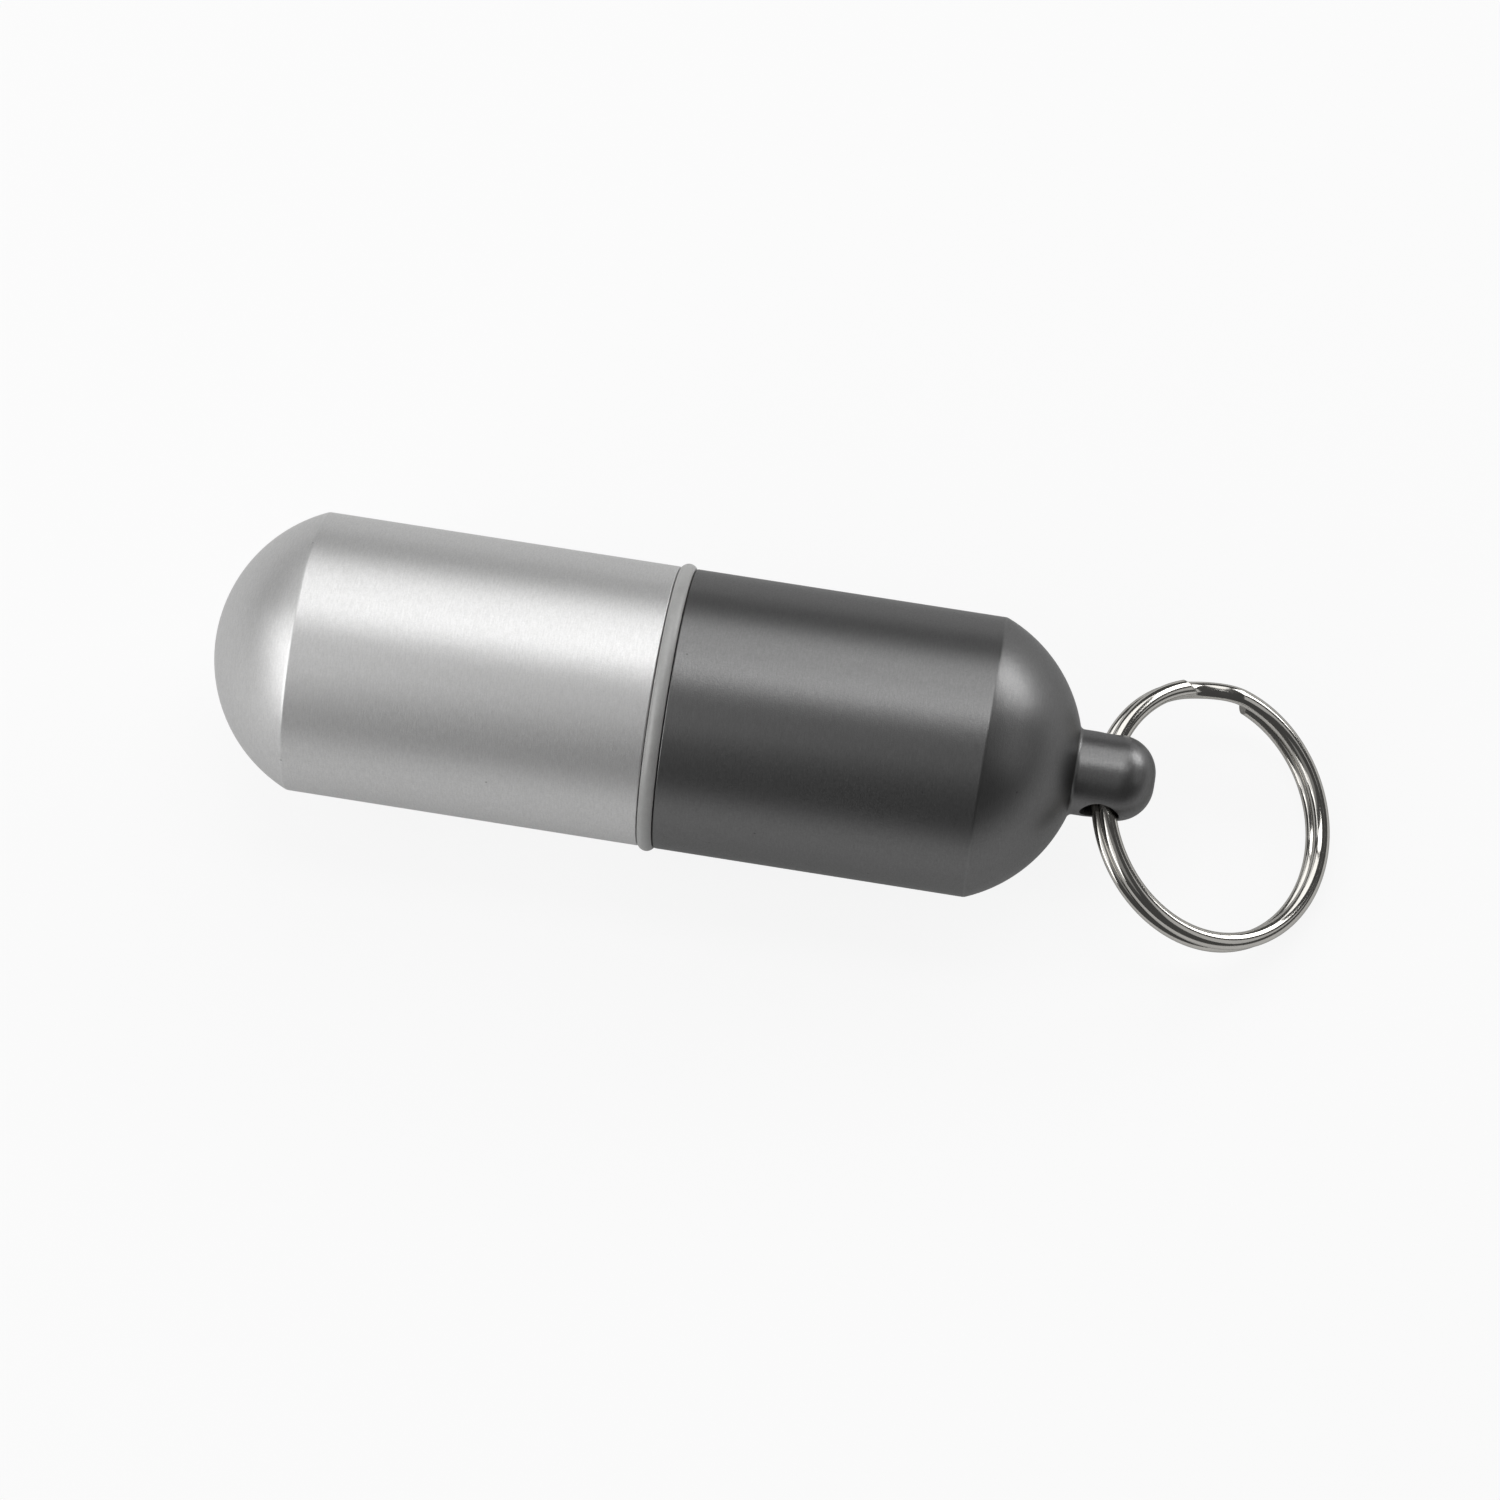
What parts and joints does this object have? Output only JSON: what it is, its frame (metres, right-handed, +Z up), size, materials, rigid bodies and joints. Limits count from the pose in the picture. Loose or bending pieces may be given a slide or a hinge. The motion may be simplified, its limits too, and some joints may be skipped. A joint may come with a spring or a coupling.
{
  "type": "waterproof capsule",
  "caption": "Waterproof key-ring capsule of turned aluminium: domed body, screw-on lid on a rubber seal, and a split ring through the lid's drilled nub.",
  "frame": {"origin": "on the plane that the capsule lies on, under the middle of the whole object's box", "axes": "+X along the capsule's axis, from the body's closed end towards the key ring; +Y across the capsule, along the nub's drilled hole; +Z up"},
  "size_m": [0.1008, 0.0258, 0.0257],
  "materials": {
    "satin_aluminium": "satin bead-blasted, clear anodised",
    "gunmetal_aluminium": "satin bead-blasted, dark grey anodised",
    "grey_silicone": "smooth matt moulded silicone",
    "polished_nickel": "bright nickel plating on spring steel wire"
  },
  "bodies": {
    "body": {"capsule_body": "satin_aluminium"},
    "seal": {"seal_ring": "grey_silicone"},
    "lid": {"lid": "gunmetal_aluminium"},
    "ring": {"key_ring": "polished_nickel"}
  },
  "joints": [
    {"name": "lid_turn", "type": "hinge", "parent": "body", "child": "seal", "pos_m": [-0.00975, 0, 0.01287], "axis": [1, 0, 0], "range_deg": [0, 1620]},
    {"name": "lid_lift", "type": "slide", "parent": "seal", "child": "lid", "axis": [1, 0, 0], "range_m": [0, 0.00675]},
    {"name": "ring_swing", "type": "hinge", "parent": "lid", "child": "ring", "pos_m": [0.02934, 0, 0.01287], "axis": [0, -1, 0], "range_deg": [-112, 172]}
  ],
  "couplings": [
    {"joint": "lid_lift", "follows": "lid_turn", "m_per_rad": 0.00023873}
  ]
}
